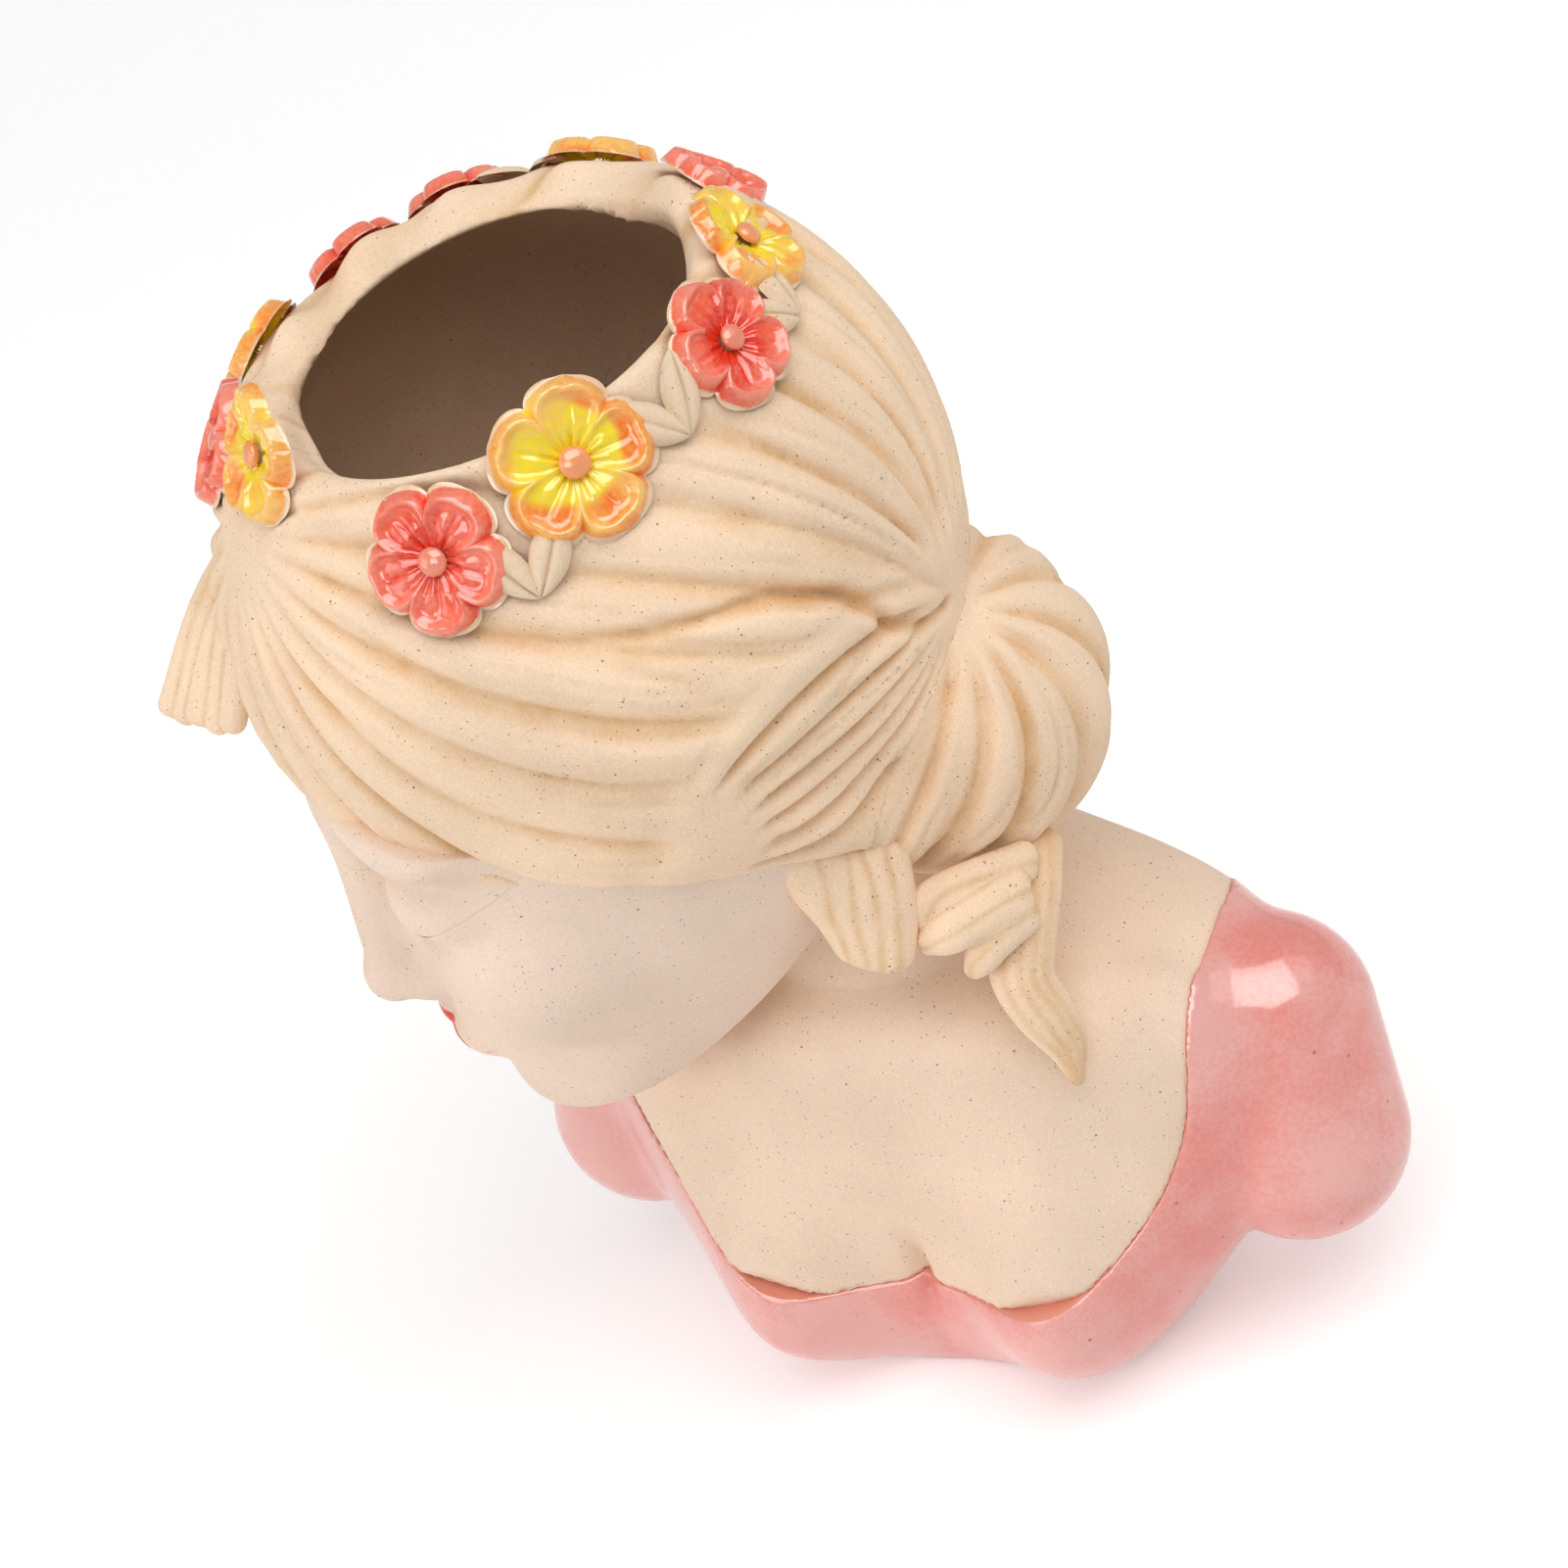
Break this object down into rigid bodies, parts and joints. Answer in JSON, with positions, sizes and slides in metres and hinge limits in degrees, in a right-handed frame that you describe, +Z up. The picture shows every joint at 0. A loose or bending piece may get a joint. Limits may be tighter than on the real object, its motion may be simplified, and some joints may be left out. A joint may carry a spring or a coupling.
{
  "type": "head planter",
  "caption": "Ceramic head planter: bust with a bowed, turned head, swept hair with a low knot, a flower wreath round the open crown and a drain hole.",
  "frame": {"origin": "on the plane of the foot, under the middle of the whole outline", "axes": "+Z up, the chest faces -Y, the figure's left arm is at +X"},
  "size_m": [0.1412, 0.0983, 0.1901],
  "materials": {
    "pink_glaze": "glossy mottled pink glaze",
    "bare_clay": "matt speckled bisque stoneware",
    "washed_clay": "matt stoneware with an ochre wash in the grooves",
    "coral_glaze": "glossy coral glaze",
    "yellow_glaze": "glossy yellow glaze with orange tips",
    "leaf_clay": "matt stoneware"
  },
  "bodies": {
    "root": {"bust_dress": "pink_glaze", "bust_chest": "bare_clay", "head_face": "bare_clay", "hair_bun": "washed_clay", "hair_cap": "washed_clay", "hair_lock_cheek": "washed_clay", "hair_lock_curl": "washed_clay", "hair_lock_nape": "washed_clay", "hair_lock_temple": "washed_clay", "flower_01": "coral_glaze", "flower_02": "yellow_glaze", "flower_03": "coral_glaze", "flower_04": "yellow_glaze", "flower_05": "coral_glaze", "flower_06": "yellow_glaze", "flower_07": "coral_glaze", "flower_08": "yellow_glaze", "flower_09": "coral_glaze", "flower_10": "coral_glaze", "flower_11": "yellow_glaze", "leaf_sprig_1": "leaf_clay", "leaf_sprig_2": "leaf_clay", "leaf_sprig_3": "leaf_clay", "leaf_sprig_4": "leaf_clay", "leaf_sprig_5": "leaf_clay"}
  },
  "joints": []
}
